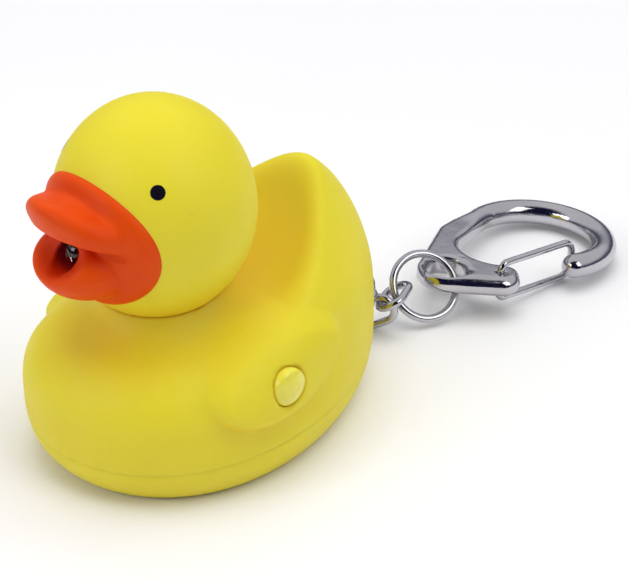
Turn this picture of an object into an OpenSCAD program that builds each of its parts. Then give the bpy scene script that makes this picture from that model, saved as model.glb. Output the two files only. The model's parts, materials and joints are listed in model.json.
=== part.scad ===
// Toy duck keychain with a light in its beak, a sound board inside, a short chain and a snap hook.
// Origin at the centre of the flat base, +Z up, the duck faces -Y, and its button is on the +X side.

/* [Duck body] */
// Length of the body from breast to tail
body_length = 45.4; // [44:0.2:47]
// Width scale of the body at mid length
body_width = 31.66; // [31:0.1:33]
// Height of the widest line above the table
wide_z = 8.7; // [8.4:0.1:9]
// Wall thickness of the moulded shells
wall = 1.3; // [1.1:0.1:1.5]
// Height of the seam between the base cover and the shell
seam_z = 4.8; // [4.4:0.1:5]
// Height by which the wing pads stand proud
wing_raise = 0.9; // [0.5:0.1:1.2]

/* [Head] */
// Radius of the head seen from above
head_r = 11.1; // [11:0.1:11.4]
// Half height of the head
head_rz = 12.4; // [12.2:0.1:12.6]
// Radius of the neck that plugs into the body
neck_r = 6.2; // [6:0.1:6.6]

/* [Beak] */
// Radius of the round plate of the beak on the face
plate_r = 8.5; // [8:0.1:8.8]
// Thickness of that plate
plate_t = 0.9; // [0.6:0.1:1.2]
// Radius of the hole in the mouth
mouth_r = 1.9; // [1.7:0.1:2]

/* [Button and light] */
// Radius of the push button
button_r = 2.2; // [2:0.1:2.3]
// Travel of the push button
button_travel = 0.4; // [0.3:0.05:0.45]
// Radius of the light emitting diode
led_r = 1.5; // [1.4:0.05:1.5]

/* [Chain] */
// Wire radius of the chain links
link_wire = 0.5; // [0.45:0.05:0.5]
// Radius of a link's round ends, to the middle of the wire
link_r = 1.65; // [1.6:0.05:1.7]
// Half the straight length of a link's sides
link_side = 1; // [0.9:0.05:1.1]
// Radius of the jump ring, to the middle of the wire
ring_r = 4.1; // [4.05:0.05:4.2]

/* [Snap hook] */
// Radius of the bow, to the middle of its section
bow_r = 8.6; // [8.5:0.1:8.8]
// Radius of the bow's round section
bow_section = 1.6; // [1.5:0.05:1.65]
// Thickness of the flat web around the eye
web_t = 2.6; // [2.4:0.1:2.8]
// Radius of the eye that the jump ring passes through
eye_hole_r = 2.45; // [2.4:0.05:2.5]
// Radius of the gate wire
gate_wire_r = 0.45; // [0.4:0.01:0.45]

/* [Hidden] */
$fn = 48;

yellow = "#e4d33c";
steel = "#c9c9ce";
copper = "#b87333";
skin = 0.05;           // small overlap for clean cuts

// Body outline: a tapered ellipse in plan, with rounded upper and lower halves.
half_length = body_length / 2;
half_width = body_width / 2;
taper = 0.212;         // how much wider the breast is than the tail
belly_depth = 11.6;    // depth of the lower half below the widest line, cut flat at the table
lower_power = 3.08;
upper_power = 2.4;
breast_h = 10.2;       // height of the upper half at the breast
tail_h = 23.6;         // height of the upper half at the tail
rise_start = -9.6;
rise_end = 11.5;
saddle_z = 18.85;      // the hollow behind the head
saddle_y = 1;
collar_z = 19.5;       // top of the collar, just under the head
collar_spread = 3.6;   // how far the collar reaches out from the neck
tail_curve = 0.06;
columns = 44;
top_rows = 13;
low_rows = 4;

// Wing pads: a tilted oval on each side, in the Y and Z directions.
wing_y = -2.6;
wing_z = 12.4;
wing_length = 9.6;
wing_height = 5.5;

head_at = [0, -7.8, 30];
neck_bottom = 15.5;
plate_z = 29.2;
mouth_z = 28.2;
face_hole_r = 4.6;
mouth_line = 29.9;     // height of the line between the bills
lip_tilt = 28;         // upward tilt of the upper lip
bill_r = 6.2;
bill_h = 4.3;          // half height of the lower bill's round side
eye_turn = 53;         // angle of the eyes from straight ahead
eye_lift = 33;         // angle of the eyes above the middle of the head
eye_r = 0.9;

button_y = -3.3;
button_z = 12.3;
button_tip_x = 17.3;
board_x = 6.6;
board_t = 1;
switch_x = board_x + board_t;
plunger_x = 11.2;
stem_x = 12.1;

speaker_at = [-1.5, -7, 1.55];
speaker_r = 7.5;
cell_r = 3.95;
cell_t = 3.6;
cell_y = 9.5;
cell_z = 7.4;
screw_spots = [[0, -16.8], [-9.3, 6], [9.3, 6]];
boss_r = 1.8;

// Chain pose: each link hangs on the wire before it. Slide is where it sits around the end of the
// wire before it, swing turns it about that wire, and roll turns it about its own length.
eyelet_at = [0, 24.1, 6];
eyelet_r = 1.5;
eyelet_slot = 1.2;     // height of the slot in the tail that the eyelet's ring sits in
wire_gap = 0.12;       // play between two linked wires
link_slide = [-29, 27, -15];
link_swing = [-74, 125, -90];
link_roll = [11, 15, 19];
ring_at = [1.81, 33.25, 4.25];
ring_normal = [0.72, -0.25, 0.65];

// The snap hook lies with its eye propped up on the jump ring.
hook_at = [0, 39, 4.4];
hook_tilt = -6;
bow_at = [1.7, 15.4];
nose_angle = -16;
bow_end_angle = 200;
eye_at = [2.1, -2.3];
eye_rim_r = 3.6;
eye_chamfer = 0.5;
pivot_at = [7.4, 1.8];
arm_r = 2.5;
side_at = [-2.4, 7.4];    // the web swells outwards here, beside the opening
side_r = 4.5;
window_at = [2.2, 7.7];
window_r = 5.4;
gate_tip = [8.0, 14.6];
gate_half = 2.35;      // half height of the gate's loop
gate_bend = 0.9;       // radius of the gate's four bends

function ease(t) = let (c = min(1, max(0, t))) c * c * (3 - 2 * c);
function soft_min(a, b, r) =
    let (h = min(1, max(0, 0.5 + 0.5 * (b - a) / r)))
    b * (1 - h) + a * h - r * h * (1 - h);
function rise(y) =
    breast_h + (tail_h - breast_h) * ease((y - rise_start) / (rise_end - rise_start));
function saddle(y) = let (t = y - saddle_y) saddle_z + (t > 0 ? tail_curve : 0.02) * t * t;

// Point of the plan at angle a, at the fraction f of the way out, with the wall w taken off.
function plan_point(a, f, w) =
    let (y = f * cos(a))
    [(half_width - w) * (1 - taper * y) * f * sin(a), (half_length - w) * y];
function top_z(y, f, w) =
    soft_min(wide_z + (rise(y) - w) * pow(1 - pow(f, upper_power), 1 / upper_power), saddle(y) - w, 2);

// The body rises to the head in a soft collar around the neck.
function with_collar(p, w) =
    let (d = norm([p[0], p[1] - head_at[1]]), lift = ease((neck_r + collar_spread - d) / collar_spread))
    [p[0], p[1], p[2] + lift * max(0, collar_z - w - p[2])];
function low_fraction(z, w) =
    pow(1 - pow((wide_z - z) / (belly_depth - w), lower_power), 1 / lower_power);

// The wing pad pushes the side of the body outwards inside its oval.
function wing_push(p) =
    let (e = norm([(p[1] - wing_y) / wing_length, (p[2] - wing_z) / wing_height]))
    abs(p[0]) < 6 ? 0 : wing_raise * ease(4 * (1.12 - e));
function with_wing(p) = [p[0] + sign(p[0]) * wing_push(p), p[1], p[2]];

function top_row(j, w) =
    let (f = sin(90 * j / top_rows))
    [for (i = [0 : columns - 1])
        let (p = plan_point(-360 * i / columns, f, w))
        with_collar([p[0], p[1], j == top_rows ? wide_z : top_z(p[1], f, w)], w)];
function low_row(z, w) =
    let (f = low_fraction(z, w))
    [for (i = [0 : columns - 1])
        let (p = plan_point(-360 * i / columns, f, w))
        [p[0], p[1], z]];

function upper_rows(w) = [for (j = [1 : top_rows]) top_row(j, w)];
function lower_rows(z0, z1, w) =
    [for (k = [1 : low_rows]) low_row(z0 + (z1 - z0) * k / low_rows, w)];
function backwards(rows) = [for (k = [len(rows) - 1 : -1 : 0]) rows[k]];

// Closed skin through a list of rings, from a first pole to a last pole.
module skin_of_rows(first, rows, last) {
    n = len(rows[0]);
    m = len(rows);
    points = [first, for (row = rows) each row, last];
    polyhedron(points, [
        for (i = [0 : n - 1]) [0, 1 + (i + 1) % n, 1 + i],
        for (k = [0 : m - 2]) for (i = [0 : n - 1])
            let (a = 1 + k * n + i, b = 1 + k * n + (i + 1) % n)
            each [[a, b, a + n], [b, b + n, a + n]],
        for (i = [0 : n - 1]) [1 + (m - 1) * n + i, 1 + (m - 1) * n + (i + 1) % n, m * n + 1]
    ]);
}

// Unit vector and the ring of points around a wire, square to the direction d.
function unit(v) = v / norm(v);
function wire_ring(p, d, r) =
    let (across = unit(cross(d, abs(d[2]) < 0.9 ? [0, 0, 1] : [1, 0, 0])), up = cross(across, d))
    [for (k = [0 : 7]) p + r * (across * cos(45 * k) + up * sin(45 * k))];

// Bent insulated wire through a list of points.
module wire(points, r) {
    last = len(points) - 1;
    skin_of_rows(
        points[0],
        [for (i = [0 : last])
            wire_ring(points[i], unit(points[min(i + 1, last)] - points[max(i - 1, 0)]), r)],
        points[last]
    );
}

// Turns +Z towards a direction.
module point_along(d) {
    rotate([0, acos(d[2] / norm(d)), atan2(d[1], d[0])]) children();
}

// ---- casing ----

// Screw boss, tall enough to bite into the shell's wall beside it.
module boss(p) {
    f = norm([p[0] / (half_width * (1 - taper * p[1] / half_length)), p[1] / half_length]);
    h = top_z(p[1], f + boss_r / half_width, wall / 2) - seam_z;
    translate([p[0], p[1], seam_z]) cylinder(r = boss_r, h = h);
}

module body_shell() color(yellow) difference() {
    union() {
        skin_of_rows(
            [0, 0, top_z(0, 0, 0)],
            concat(
                [for (row = upper_rows(0)) [for (p = row) with_wing(p)]],
                [for (row = lower_rows(wide_z, seam_z, 0)) [for (p = row) with_wing(p)]],
                backwards(lower_rows(wide_z, seam_z, wall)),
                backwards(upper_rows(wall))
            ),
            [0, 0, top_z(0, 0, wall)]
        );
        for (p = screw_spots) boss(p);
    }
    translate([0, head_at[1], neck_bottom - 2]) cylinder(r = neck_r + 0.1, h = 12);
    translate([10, button_y, button_z]) rotate([0, 90, 0]) cylinder(r = button_r + 0.1, h = 12);
    translate([0, 18, eyelet_at[2]]) rotate([-90, 0, 0]) cylinder(r = 0.75, h = 8, $fn = 24);
    translate([0, eyelet_at[1], eyelet_at[2] - eyelet_slot / 2])
        cylinder(r = eyelet_r + eyelet_slot / 2, h = eyelet_slot);
    for (p = screw_spots)
        translate([p[0], p[1], seam_z - skin]) cylinder(r = 0.85, h = 4.6, $fn = 24);
}

module base_cover() color(yellow) {
    floor_t = 1.4;
    difference() {
        union() {
            skin_of_rows(
                [0, 0, floor_t],
                concat(
                    [low_row(floor_t, wall), low_row(seam_z, wall), low_row(seam_z, 0)],
                    lower_rows(seam_z, 0, 0)
                ),
                [0, 0, 0]
            );
            for (p = screw_spots)
                translate([p[0], p[1], 0.2]) cylinder(r = boss_r, h = seam_z - 0.2);
        }
        for (p = screw_spots) translate([p[0], p[1], -skin]) {
            cylinder(r = 0.9, h = seam_z + 1, $fn = 24);
            cylinder(r = 1.6, h = 1.05 + skin, $fn = 32);
        }
        translate([speaker_at[0], speaker_at[1], -skin]) {
            cylinder(r = 0.6, h = 3, $fn = 16);
            for (i = [0 : 5]) rotate(60 * i) translate([3.2, 0, 0]) cylinder(r = 0.6, h = 3, $fn = 16);
        }
    }
}

module cover_screws() color(steel) for (p = screw_spots) translate([p[0], p[1], 0.2]) {
    difference() {
        cylinder(r = 1.5, h = 0.8, $fn = 32);
        for (turn = [0, 90]) rotate(turn) translate([-1, -0.2, -skin]) cube([2, 0.4, 0.4]);
    }
    cylinder(r = 0.8, h = seam_z + 3, $fn = 24);
}

// ---- head ----

// Half section of the head grown by g, from its top down to the height z above its middle.
function head_arc(g, z_end, n) =
    let (a_end = asin(z_end / (head_rz + g)))
    [for (i = [0 : n]) let (a = 90 + (a_end - 90) * i / n) [(head_r + g) * cos(a), (head_rz + g) * sin(a)]];
function neck_join(g, r) = -(head_rz + g) * sqrt(1 - pow(r / (head_r + g), 2));

module head_shell() color(yellow) difference() {
    translate(head_at) rotate_extrude($fn = 96) polygon(concat(
        head_arc(0, neck_join(0, neck_r), 28),
        [[neck_r, neck_bottom - head_at[2]], [neck_r - wall, neck_bottom - head_at[2]]],
        [for (k = [24 : -1 : 0]) head_arc(-wall, neck_join(-wall, neck_r - wall), 24)[k]]
    ));
    translate([0, head_at[1], mouth_z]) rotate([90, 0, 0]) cylinder(r = face_hole_r, h = 14);
    for (side = [-1, 1]) eye_place(side) translate([0, 0, -0.5]) cylinder(r = eye_r + 0.05, h = 2, $fn = 32);
}

// The spot of an eye on the head, with +Z along the outward normal.
module eye_place(side) {
    d = [side * sin(eye_turn) * cos(eye_lift), -cos(eye_turn) * cos(eye_lift), sin(eye_lift)];
    k = 1 / norm([d[0] / head_r, d[1] / head_r, d[2] / head_rz]);
    spot = k * d;
    normal = [spot[0] / pow(head_r, 2), spot[1] / pow(head_r, 2), spot[2] / pow(head_rz, 2)];
    translate(head_at + spot) point_along(normal) children();
}

module eye(side) color("#15151c") eye_place(side) translate([0, 0, -0.45])
    cylinder(r = eye_r, h = 0.5, $fn = 32);
module eye_left() eye(1);
module eye_right() eye(-1);

// Round lip of the beak: a shallow dish with a flared, rounded edge.
module lip(r, h) {
    rotate_extrude($fn = 96) polygon([[0, 0], [r - 0.9, 0], [r, 0.6 * h], [r - 0.2, h], [0, h - 0.4]]);
}

// Solid of the head grown by g, down to 11 mm below its middle.
module head_solid(g) {
    translate(head_at) rotate_extrude($fn = 96) polygon(concat(head_arc(g, -11, 28), [[0, -11]]));
}

// Round cup of the lower bill, open at the line of the mouth.
module lower_bill() rotate_extrude($fn = 96) polygon(concat(
    [[0, -0.6]],
    [for (a = [40 : -10 : -90]) [bill_r * cos(a), bill_h * (sin(a) - sin(40)) - 0.6]]
));

module beak() color("#e0501f") difference() {
    union() {
        difference() {
            union() {
                intersection() {
                    head_solid(plate_t);
                    translate([0, -12, plate_z]) rotate([90, 0, 0]) rotate(37) cylinder(r = plate_r, h = 12);
                }
                translate([0, -17, mouth_line - 0.3]) lip(5.8, 2.2);
                translate([0, -17.6, mouth_line + 0.6]) rotate([-lip_tilt, 0, 0]) lip(6.6, 1.4);
                translate([0, -16.9, mouth_line]) lower_bill();
            }
            head_solid(0.05);
        }
        translate([0, -14, mouth_z]) rotate([90, 0, 0]) cylinder(r = face_hole_r - 0.1, h = 4.5);
    }
    translate([0, -13, mouth_z]) rotate([90, 0, 0]) cylinder(r = led_r + 0.08, h = 20);
    translate([0, -18.5, mouth_z]) rotate([90, 0, 0]) cylinder(r = mouth_r, h = 10);
}

// ---- light ----

module led() color("#e8e8f0", 0.6) translate([0, -13.4, mouth_z]) rotate([90, 0, 0]) {
    cylinder(r = led_r, h = 4.6);
    translate([0, 0, 4.6]) sphere(r = led_r);
    translate([0, 0, -0.6]) cylinder(r = led_r + 0.35, h = 0.6);
}

module led_leads() color(steel) for (side = [-1, 1])
    translate([side * 0.63, -12.8, mouth_z]) rotate([-90, 0, 0]) cylinder(r = 0.22, h = 4.5, $fn = 16);

module led_wires() for (side = [-1, 1]) color(side > 0 ? "#c0392b" : "#1c1c1c")
    wire([
        [side * 0.63, -8.25, mouth_z], [side * 0.8, -7, mouth_z - 1.5], [side * 0.8 + 1, -6.5, 18],
        [side * 0.8 + 3, -6.5, 15.5], [board_x - 0.1, -6.5 + side * 0.8, 13.5]
    ], 0.35);

// ---- electronics ----

module circuit_board() color("#8a6a2f") difference() {
    translate([board_x, -10, 5]) cube([board_t, 14.8, 9.8]);
    for (side = [-1, 1]) translate([board_x - 1, -6.5 + side * 0.8, 13.5])
        rotate([0, 90, 0]) cylinder(r = 0.4, h = 3, $fn = 16);
}

module sound_chip() color("#141414") translate([board_x, 0.5, 8.6]) rotate([0, -90, 0])
    intersection() {
        cylinder(r = 2.6, h = 1.2);
        translate([0, 0, -3.2]) sphere(r = 4.3);
    }

module switch_body() color("#2a2a2e") difference() {
    translate([switch_x, button_y - 2.25, button_z - 2.25]) cube([plunger_x - switch_x, 4.5, 4.5]);
    translate([plunger_x - 1, button_y, button_z]) rotate([0, 90, 0]) cylinder(r = 1.2, h = 2, $fn = 32);
}

module switch_plunger() color("#3c3c42") translate([plunger_x - 0.5, button_y, button_z])
    rotate([0, 90, 0]) cylinder(r = 1.1, h = 1.3, $fn = 32);

module button() color("#efe04a") translate([0, button_y, button_z]) rotate([0, 90, 0]) {
    translate([0, 0, stem_x]) cylinder(r = button_r, h = button_tip_x - 0.8 - stem_x);
    translate([0, 0, stem_x]) cylinder(r = 2.8, h = 0.5);
    intersection() {
        translate([0, 0, button_tip_x - 3.4]) sphere(r = 3.4);
        translate([0, 0, button_tip_x - 0.85]) cylinder(r = button_r, h = 2);
    }
}

module speaker_frame() color(steel) translate(speaker_at) difference() {
    cylinder(r = speaker_r, h = 4);
    translate([0, 0, -skin]) cylinder(r = speaker_r - 0.6, h = 3);
    translate([0, 0, 2]) cylinder(r = 3, h = 1.5);
}

module speaker_cone() color("#26262a") translate(speaker_at) translate([0, 0, 0.3]) difference() {
    cylinder(r1 = speaker_r - 0.7, r2 = 3, h = 2.3, $fn = 64);
    translate([0, 0, -0.4]) cylinder(r1 = speaker_r - 0.7, r2 = 3, h = 2.3, $fn = 64);
}

module speaker_wires() for (side = [-1, 1]) color(side > 0 ? "#c0392b" : "#1c1c1c")
    wire([
        [side * 1.2, speaker_at[1] + side, speaker_at[2] + 4.4],
        [side * 1.2 + 2, speaker_at[1] + side, 7.6],
        [board_x - 0.5, speaker_at[1] + side, 7.6]
    ], 0.35);

module cell_cradle() color("#d8d8d0") difference() {
    translate([-6.9, cell_y - 4.6, 1.5]) cube([13.8, 9.2, 7]);
    translate([-5.75, cell_y, cell_z]) rotate([0, 90, 0]) cylinder(r = cell_r + 0.1, h = 11.5);
    translate([-5.75, cell_y - 3, 2.6]) cube([11.5, 6, 7]);
}

module cell(i) color("#b9bcc2") translate([(i - 1.5) * cell_t, cell_y, cell_z]) rotate([0, 90, 0]) {
    cylinder(r = cell_r, h = 2.5);
    translate([0, 0, 2.5]) cylinder(r = cell_r - 0.6, h = cell_t - 2.5);
}
module cell_1() cell(0);
module cell_2() cell(1);
module cell_3() cell(2);

module contact(x) translate([x, cell_y - 2.4, 3.2]) cube([0.25, 4.8, 7.2]);
module contact_positive() color(steel) contact(5.45);
module contact_negative() color(steel) union() {
    contact(-5.7);
    translate([-5.7, cell_y, 10.4]) rotate([0, 90, 0]) cylinder(r = 1.2, h = 0.25, $fn = 24);
}

module power_wires() for (side = [-1, 1]) color(side > 0 ? "#c0392b" : "#1c1c1c")
    wire([
        [side * 5.55, cell_y - 2, 10.8], [side * 5.2, cell_y - 3.5, 12.4],
        [side > 0 ? 5.2 : -4, 4.2, 13], [board_x - 0.5, 3.2, side > 0 ? 13 : 11.6]
    ], 0.35);

// ---- chain ----

// A vector turned about a unit axis.
function turned(v, axis, angle) =
    v * cos(angle) + cross(axis, v) * sin(angle) + axis * (axis * v) * (1 - cos(angle));

// A contact is [point on the wire, direction of the wire, direction outwards].
eyelet_contact =
    let (a = link_slide[0], out = [sin(a), cos(a), 0])
    [eyelet_at + eyelet_r * out, [cos(a), -sin(a), 0], out];

// A link's frame is [centre, across, along, normal].
function hung_link(contact, i) =
    let (
        along = turned(contact[2], contact[1], link_swing[i]),
        normal = turned(contact[1], along, link_roll[i]),
        crown = contact[0] - (2 * link_wire + wire_gap) * along
    )
    [crown + (link_side + link_r) * along, cross(along, normal), along, normal];
function contact_on(link, slide) =
    let (out = link[1] * sin(slide) + link[2] * cos(slide))
    [link[0] + link[2] * link_side + link_r * out, link[1] * cos(slide) - link[2] * sin(slide), out];

link_frames = [
    for (i = 0, frame = hung_link(eyelet_contact, 0); i < 3;
        i = i + 1, frame = i < 3 ? hung_link(contact_on(frame, link_slide[i]), i) : frame) frame
];

module tail_eyelet() color(steel) {
    translate(eyelet_at) rotate_extrude($fn = 64) translate([eyelet_r, 0]) circle(r = link_wire, $fn = 32);
    translate([0, 17.5, eyelet_at[2]]) rotate([-90, 0, 0])
        cylinder(r = 0.65, h = eyelet_at[1] - eyelet_r - 17.5, $fn = 24);
    translate([0, 17.5, eyelet_at[2]]) rotate([-90, 0, 0]) cylinder(r = 1.8, h = 0.8, $fn = 32);
}

module chain_link(i) color(steel) {
    f = link_frames[i];
    multmatrix([
        [f[1][0], f[2][0], f[3][0], f[0][0]],
        [f[1][1], f[2][1], f[3][1], f[0][1]],
        [f[1][2], f[2][2], f[3][2], f[0][2]],
        [0, 0, 0, 1]
    ]) for (end = [0, 180]) rotate(end) {
        translate([0, link_side, 0]) rotate_extrude(angle = 180) translate([link_r, 0])
            circle(r = link_wire, $fn = 32);
        translate([link_r, -link_side, 0]) rotate([-90, 0, 0])
            cylinder(r = link_wire, h = 2 * link_side, $fn = 32);
    }
}
module chain_link_1() chain_link(0);
module chain_link_2() chain_link(1);
module chain_link_3() chain_link(2);

module jump_ring() color(steel) translate(ring_at) point_along(ring_normal)
    rotate_extrude($fn = 96) translate([ring_r, 0]) circle(r = link_wire, $fn = 32);

// ---- snap hook ----

module hook_place() translate(hook_at) rotate([hook_tilt, 0, 0]) children();

// Flat web of the hook: the left side, the eye's rim and the arm, below the bow's opening.
module web_outline() difference() {
    foot = bow_at + bow_r * [cos(bow_end_angle), sin(bow_end_angle)];
    union() {
        hull() {
            translate(foot) circle(r = bow_section - 0.15, $fn = 32);
            translate(side_at) circle(r = side_r, $fn = 32);
            translate(eye_at) circle(r = eye_rim_r, $fn = 48);
        }
        hull() {
            translate(side_at) circle(r = side_r, $fn = 32);
            translate(eye_at) circle(r = eye_rim_r, $fn = 48);
            translate(pivot_at) circle(r = arm_r, $fn = 48);
        }
    }
    hull() {
        translate(window_at) circle(r = window_r, $fn = 64);
        translate(bow_at) circle(r = bow_r - bow_section + 0.1, $fn = 64);
    }
}

module hook_body() color(steel) hook_place() {
    difference() {
        translate([0, 0, -web_t / 2]) linear_extrude(web_t) web_outline();
        translate([eye_at[0], eye_at[1], 0]) {
            translate([0, 0, -5]) cylinder(r = eye_hole_r, h = 10, $fn = 48);
            for (flip = [0, 180]) rotate([flip, 0, 0]) translate([0, 0, web_t / 2 - eye_chamfer])
                cylinder(r1 = eye_hole_r, r2 = eye_hole_r + 2 * eye_chamfer, h = 2 * eye_chamfer);
        }
        translate([pivot_at[0], pivot_at[1], -5]) cylinder(r = gate_wire_r + 0.05, h = 10, $fn = 24);
    }
    translate(bow_at) rotate(nose_angle) {
        rotate_extrude(angle = bow_end_angle - nose_angle, $fn = 96) translate([bow_r, 0])
            circle(r = bow_section, $fn = 32);
        translate([bow_r, 0, 0]) sphere(r = bow_section - 0.02, $fn = 32);
    }
}

// Wire gate: a flat loop standing over and under the arm, turning on its two bent-in ends.
module gate_wire() color(steel) hook_place() {
    reach = norm(gate_tip - pivot_at);
    inner = web_t / 2 - 0.6;
    straight = gate_half - gate_bend;
    translate([pivot_at[0], pivot_at[1], 0])
        rotate(atan2(gate_tip[1] - pivot_at[1], gate_tip[0] - pivot_at[0])) {
            for (flip = [0, 180]) rotate([flip, 0, 0]) {
                translate([0, 0, inner]) cylinder(r = gate_wire_r, h = straight - inner, $fn = 32);
                translate([gate_bend, 0, straight]) gate_corner(180);
                translate([gate_bend, 0, gate_half]) rotate([0, 90, 0])
                    cylinder(r = gate_wire_r, h = reach - 2 * gate_bend, $fn = 32);
                translate([reach - gate_bend, 0, straight]) gate_corner(90);
            }
            translate([reach, 0, -straight]) cylinder(r = gate_wire_r, h = 2 * straight, $fn = 32);
        }
}

// Quarter bend of the gate wire, standing in the XZ plane from the angle a.
module gate_corner(a) {
    rotate([90, 0, 0]) rotate(a == 180 ? 90 : 0) rotate_extrude(angle = 90, $fn = 48)
        translate([gate_bend, 0]) circle(r = gate_wire_r, $fn = 32);
}

body_shell();
base_cover();
cover_screws();
head_shell();
beak();
eye_left();
eye_right();
led();
led_leads();
led_wires();
circuit_board();
sound_chip();
switch_body();
switch_plunger();
button();
speaker_frame();
speaker_cone();
speaker_wires();
cell_cradle();
cell_1();
cell_2();
cell_3();
contact_positive();
contact_negative();
power_wires();
tail_eyelet();
chain_link_1();
chain_link_2();
chain_link_3();
jump_ring();
hook_body();
gate_wire();
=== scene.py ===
"""Looks of the duck keychain: soft moulded duck, beak, button, and the plated chain and snap hook.

Shapes are worked out in millimetres in the CAD frame and turned into metres when a mesh is made.
The moulded parts are distance fields that are smoothly joined and then meshed, so that every blend,
lip and recess is real geometry.
"""
import json
import math

import bpy
import numpy as np
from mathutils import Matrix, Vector


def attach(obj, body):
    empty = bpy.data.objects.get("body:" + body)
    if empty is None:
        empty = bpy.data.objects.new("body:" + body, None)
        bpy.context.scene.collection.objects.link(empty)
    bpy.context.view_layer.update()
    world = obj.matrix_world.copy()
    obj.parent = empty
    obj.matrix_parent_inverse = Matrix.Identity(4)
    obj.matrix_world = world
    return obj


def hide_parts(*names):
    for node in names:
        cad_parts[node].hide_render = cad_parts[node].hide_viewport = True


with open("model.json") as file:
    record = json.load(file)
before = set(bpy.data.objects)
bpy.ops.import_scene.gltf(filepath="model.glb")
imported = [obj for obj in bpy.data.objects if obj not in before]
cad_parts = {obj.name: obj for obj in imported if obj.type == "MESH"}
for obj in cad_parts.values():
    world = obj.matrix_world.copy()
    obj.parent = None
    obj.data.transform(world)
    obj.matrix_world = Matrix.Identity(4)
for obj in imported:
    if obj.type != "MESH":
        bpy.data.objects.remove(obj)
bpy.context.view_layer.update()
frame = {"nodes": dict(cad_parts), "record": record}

MM = 0.001
FINE = 1.0      # mesh density: coarser while trying things

# ---------------------------------------------------------------- sizes, in millimetres
# body: x is across, y runs from beak to tail, z is up
WALL = 1.3                  # thickness of the mouldings
SEAM_Z = 4.8                # height of the line between body and base
FLOOR_INSIDE = 1.4          # height of the inside of the base
HALF_LENGTH = 22.7
HALF_WIDTH = 15.83
WIDE_Z = 8.7                # height at which the body is widest
TAPER = 0.212               # how much narrower the tail end is
BELOW = 11.6                # reach of the lower half, cut off by the flat base
ROUND_ABOVE = 2.4           # powers of the upper and the lower outline
ROUND_BELOW = 3.08
CHEST_TOP = 10.2            # height over WIDE_Z at the chest, and what the tail adds
TAIL_RISE = 13.4
SADDLE_Y = 1.0              # lowest place of the hollow back
SADDLE_Z = 18.85
COLLAR_R = 6.2              # the ring of skin under the head
WING_X = 16.95              # the furthest that a wing pad reaches
WING_AT = (-2.7, 13.2)      # y and z
WING_SIZE = (9.5, 4.9)
WING_SLANT = 0.12           # how far the pad rises towards the tail
WING_PAD = 0.6              # height of the pad, and depth of the moat around it
WING_MOAT = 0.42
SPEAKER_AT = (-1.5, -7.0)
SOUND_HOLE_R = 0.6
SCREWS_AT = ((0, -16.8), (-9.3, 6), (9.3, 6))
SCREW_WELL_R = 1.6
# head, button and eyes
HEAD_AT = np.array([0.0, -7.6, 29.75])
HEAD_R = 11.1
HEAD_RZ = 12.4
NECK_R = 5.3
NECK_BOTTOM = 15.6
NECK_TOP = 26
BUTTON_Y = -3.3
BUTTON_Z = 12.3
BUTTON_R = 2.2
BUTTON_TIP = 17.25          # how far out the button reaches
BUTTON_DOME_R = 4.0
FLANGE_X = 12.4             # the button's flange, inside the body
FLANGE_R = 2.75
EYE_TURN = math.radians(53)     # round from the beak, and up from the head's middle
EYE_LIFT = math.radians(34.2)
EYE_R = 0.82
# beak
MOUTH_Z = 28.2
MOUTH_R = 1.6
PLATE_Z = 29.05             # the round plate on the face, and its thickness PLATE_T
PLATE_RX = 8.8
PLATE_RZ = 7.25
PLATE_T = 0.40
ROOF_Z = 29.6               # the arch of the upper bill, seen from the front
ROOF_RX = 7.5
ROOF_RZ = 5.65
LIP_Y = -17.0               # the outline of the bills, seen from above
LIP_RX = 7.3
LIP_RY = 5.75
BOWL_AT = (0, -16.9, 26.8)  # the lower bill
BOWL_SIZE = (5.9, 5.75, 3.8)
SCOOP_AT = (-22.6, 30.6)    # y and z
SCOOP_R = 4.0
# chain and snap hook: the points of the hook are given in its own flat frame
RING_AT = np.array([1.81, 33.25, 4.25])
RING_NORMAL = np.array([0.72, -0.25, 0.65])
RING_R = 4.1
WIRE_R = 0.5
HOOK_AT = np.array([0.0, 39.0, 4.4])
HOOK_TILT = math.radians(-6)
BOW_AT = (1.7, 15.4)
BOW_R = 8.6
BAR_R = 1.6                 # half the thickness of the bow
NOSE_TURN = -16             # degrees round the bow at which it ends
FOOT_TURN = 200
HOOK_EYE = (2.1, -2.3)
HOOK_EYE_R = 2.45
EYE_RIM = 3.6
PIVOT_RIM = 2.5
SIDE_AT = (-2.4, 7.4)       # the round that fills out the web's outer side
SIDE_R = 4.5
PIVOT_AT = (7.4, 1.8)       # where the gate's wire goes in, and the gate's far end
GATE_TIP = (8.0, 14.6)
GATE_HALF = 2.35            # half the width of the gate's loop
GATE_WIRE_R = 0.45
PATH_STEP = 0.8             # distance between points along a straight wire
LINK_SIDE = 1.0             # half the straight side of a link, and its round end
LINK_R = 1.65


# ---------------------------------------------------------------- field helpers
def smooth_max(a, b, k):
    """The larger of two fields, blended over a width of k."""
    h = np.clip(0.5 + 0.5 * (a - b) / k, 0, 1)
    return b * (1 - h) + a * h + k * h * (1 - h)


def smooth_min(a, b, k):
    return -smooth_max(-a, -b, k)


def ease(t):
    """0 to 1 as t goes from 0 to 1, with soft ends."""
    t = np.clip(t, 0, 1)
    return t * t * (3 - 2 * t)


def ellipsoid(x, y, z, centre, radii):
    """Negative inside; near a distance for an ellipsoid that is almost round."""
    u = (x - centre[0]) / radii[0]
    v = (y - centre[1]) / radii[1]
    w = (z - centre[2]) / radii[2]
    k = np.sqrt(u ** 2 + v ** 2 + w ** 2)
    return (k - 1) * min(radii)


def gradient(field, p, eps):
    """Slope of a field at the points p, from differences over eps to both sides."""
    sides = []
    for axis in range(3):
        step = np.zeros(3)
        step[axis] = eps
        ahead = field(*(p + step).T)
        behind = field(*(p - step).T)
        sides.append((ahead - behind) / (2 * eps))
    return np.stack(sides, -1)


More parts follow.
